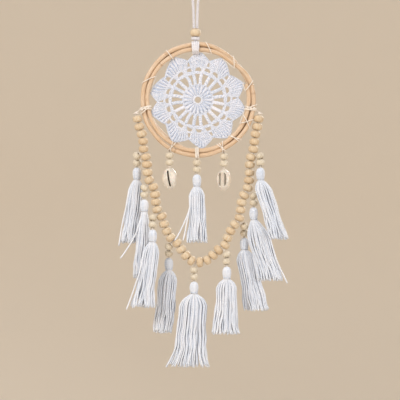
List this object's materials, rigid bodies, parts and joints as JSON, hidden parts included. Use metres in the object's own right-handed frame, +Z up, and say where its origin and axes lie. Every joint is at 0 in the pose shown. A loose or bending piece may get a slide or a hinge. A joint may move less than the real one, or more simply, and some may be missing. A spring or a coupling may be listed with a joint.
{
  "type": "dream catcher",
  "caption": "Hanging dream catcher: cane hoop with a laced crochet doily, a garland of wooden beads, cotton tassels and cowrie shells on threads.",
  "frame": {"origin": "inside of the hanging loop's top, where the nail or hook goes", "axes": "+Z up along the hanging cord, +X to the viewer's right, the front faces -Y"},
  "size_m": [0.1659, 0.0272, 0.3953],
  "materials": {
    "cotton_cord": "matte",
    "crochet_cotton": "matte",
    "cotton_thread": "matte",
    "tassel_cotton": "matte",
    "binding_cotton": "matte",
    "rattan": "satin",
    "garland_wood": "satin",
    "drop_wood": "satin",
    "cowrie_shell": "gloss"
  },
  "bodies": {
    "hanger": {"hanging_loop": "cotton_cord"},
    "hanger_bead": {"hanger_bead": "garland_wood"},
    "whipping": {"strap_whipping": "cotton_cord"},
    "hoop": {"hoop_strap": "cotton_cord", "hoop_cane_outer": "rattan", "hoop_cane_inner": "rattan", "hoop_cane_back": "rattan", "crochet_doily": "crochet_cotton", "doily_lacing": "crochet_cotton", "garland_ties": "cotton_thread", "thread_hoop_left": "cotton_thread", "drop_beads_hoop_left": "drop_wood", "thread_hoop_centre": "cotton_thread", "drop_beads_hoop_centre": "drop_wood", "thread_hoop_right": "cotton_thread", "drop_beads_hoop_right": "drop_wood"},
    "garland": {"garland_cord": "cotton_thread", "garland_beads": "garland_wood", "thread_left_1": "cotton_thread", "drop_beads_left_1": "drop_wood", "thread_left_2": "cotton_thread", "drop_beads_left_2": "drop_wood", "thread_left_3": "cotton_thread", "drop_beads_left_3": "drop_wood", "thread_left_4": "cotton_thread", "drop_beads_left_4": "drop_wood", "thread_bottom": "cotton_thread", "drop_beads_bottom": "drop_wood", "thread_right_4": "cotton_thread", "drop_beads_right_4": "drop_wood", "thread_right_3": "cotton_thread", "drop_beads_right_3": "drop_wood", "thread_right_2": "cotton_thread", "drop_beads_right_2": "drop_wood", "thread_right_1": "cotton_thread", "drop_beads_right_1": "drop_wood"},
    "tassel_left_1": {"tassel_left_1": "tassel_cotton", "binding_left_1": "binding_cotton"},
    "tassel_left_2": {"tassel_left_2": "tassel_cotton", "binding_left_2": "binding_cotton"},
    "tassel_left_3": {"tassel_left_3": "tassel_cotton", "binding_left_3": "binding_cotton"},
    "tassel_left_4": {"tassel_left_4": "tassel_cotton", "binding_left_4": "binding_cotton"},
    "tassel_bottom": {"tassel_bottom": "tassel_cotton", "binding_bottom": "binding_cotton"},
    "tassel_right_4": {"tassel_right_4": "tassel_cotton", "binding_right_4": "binding_cotton"},
    "tassel_right_3": {"tassel_right_3": "tassel_cotton", "binding_right_3": "binding_cotton"},
    "tassel_right_2": {"tassel_right_2": "tassel_cotton", "binding_right_2": "binding_cotton"},
    "tassel_right_1": {"tassel_right_1": "tassel_cotton", "binding_right_1": "binding_cotton"},
    "tassel_hoop": {"tassel_hoop": "tassel_cotton", "binding_hoop": "binding_cotton"},
    "cowrie_left_knot": {"cowrie_knot_left": "cotton_thread"},
    "cowrie_left": {"cowrie_left": "cowrie_shell"},
    "cowrie_right_knot": {"cowrie_knot_right": "cotton_thread"},
    "cowrie_right": {"cowrie_right": "cowrie_shell"}
  },
  "joints": [
    {"name": "hanger_bead_slide", "type": "slide", "parent": "hanger", "child": "hanger_bead", "axis": [0, 0, 1], "range_m": [0, 0.007]},
    {"name": "hoop_twist", "type": "hinge", "parent": "hanger", "child": "whipping", "pos_m": [0, 0, -0.062], "axis": [0, 0, 1], "range_deg": [-180, 180], "stiffness_Nm_per_rad": 0.0003},
    {"name": "hoop_swing", "type": "hinge", "parent": "whipping", "child": "hoop", "pos_m": [0, 0, -0.0684], "axis": [0, 1, 0], "range_deg": [-20, 20]},
    {"name": "garland_swing", "type": "hinge", "parent": "hoop", "child": "garland", "pos_m": [0.0024, 0, -0.138], "axis": [1, 0, 0], "range_deg": [-60, 60]},
    {"name": "tassel_left_1_swing", "type": "hinge", "parent": "garland", "child": "tassel_left_1", "pos_m": [-0.05885, 0.009, -0.19189], "axis": [0, 1, 0], "range_deg": [-25, 30]},
    {"name": "tassel_left_2_swing", "type": "hinge", "parent": "garland", "child": "tassel_left_2", "pos_m": [-0.05121, 0, -0.22408], "axis": [0, 1, 0], "range_deg": [-5, 30]},
    {"name": "tassel_left_3_swing", "type": "hinge", "parent": "garland", "child": "tassel_left_3", "pos_m": [-0.0426, -0.009, -0.25406], "axis": [0, 1, 0], "range_deg": [-25, 25]},
    {"name": "tassel_left_4_swing", "type": "hinge", "parent": "garland", "child": "tassel_left_4", "pos_m": [-0.02682, 0.009, -0.28286], "axis": [0, 1, 0], "range_deg": [-25, 25]},
    {"name": "tassel_bottom_swing", "type": "hinge", "parent": "garland", "child": "tassel_bottom", "pos_m": [-0.00149, 0, -0.30623], "axis": [0, 1, 0], "range_deg": [-25, 25]},
    {"name": "tassel_right_4_swing", "type": "hinge", "parent": "garland", "child": "tassel_right_4", "pos_m": [0.03117, -0.009, -0.29085], "axis": [0, 1, 0], "range_deg": [-25, 25]},
    {"name": "tassel_right_3_swing", "type": "hinge", "parent": "garland", "child": "tassel_right_3", "pos_m": [0.04894, 0.009, -0.26256], "axis": [0, 1, 0], "range_deg": [-25, 25]},
    {"name": "tassel_right_2_swing", "type": "hinge", "parent": "garland", "child": "tassel_right_2", "pos_m": [0.05811, 0, -0.23203], "axis": [0, 1, 0], "range_deg": [-30, 2]},
    {"name": "tassel_right_1_swing", "type": "hinge", "parent": "garland", "child": "tassel_right_1", "pos_m": [0.06459, -0.009, -0.19252], "axis": [0, 1, 0], "range_deg": [-30, 25]},
    {"name": "tassel_hoop_swing", "type": "hinge", "parent": "hoop", "child": "tassel_hoop", "pos_m": [0.0014, 0, -0.19894], "axis": [1, 0, 0], "range_deg": [-45, 45]},
    {"name": "cowrie_left_swing", "type": "hinge", "parent": "hoop", "child": "cowrie_left_knot", "pos_m": [-0.0258, 0, -0.19159], "axis": [1, 0, 0], "range_deg": [-45, 45]},
    {"name": "cowrie_left_spin", "type": "hinge", "parent": "cowrie_left_knot", "child": "cowrie_left", "pos_m": [-0.0258, 0, -0.19159], "axis": [0, 0, 1], "continuous": true},
    {"name": "cowrie_right_swing", "type": "hinge", "parent": "hoop", "child": "cowrie_right_knot", "pos_m": [0.0284, 0, -0.19276], "axis": [1, 0, 0], "range_deg": [-45, 45]},
    {"name": "cowrie_right_spin", "type": "hinge", "parent": "cowrie_right_knot", "child": "cowrie_right", "pos_m": [0.0284, 0, -0.19276], "axis": [0, 0, 1], "continuous": true}
  ]
}
